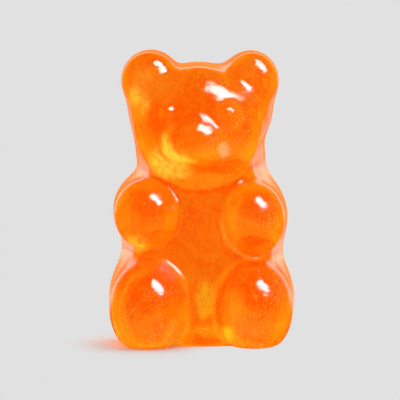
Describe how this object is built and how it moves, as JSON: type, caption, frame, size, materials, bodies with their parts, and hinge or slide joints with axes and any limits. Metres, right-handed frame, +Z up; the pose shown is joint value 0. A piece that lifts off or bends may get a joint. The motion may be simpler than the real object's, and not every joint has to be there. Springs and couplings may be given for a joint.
{
  "type": "gummy bear",
  "caption": "Standing bear-shaped fruit gum sweet with round ears, a blunt muzzle and rounded arms and legs, moulded in one piece with a flat back.",
  "frame": {"origin": "on the surface it stands on, under the middle of the bear's box", "axes": "+Z up through the head, -Y the way the face looks, +Y the flat back, +X to the right as seen from the front"},
  "size_m": [0.014, 0.0104, 0.022],
  "materials": {
    "orange_gum": "glossy, clear orange fruit gum"
  },
  "bodies": {
    "root": {"gummy_bear": "orange_gum"}
  },
  "joints": []
}
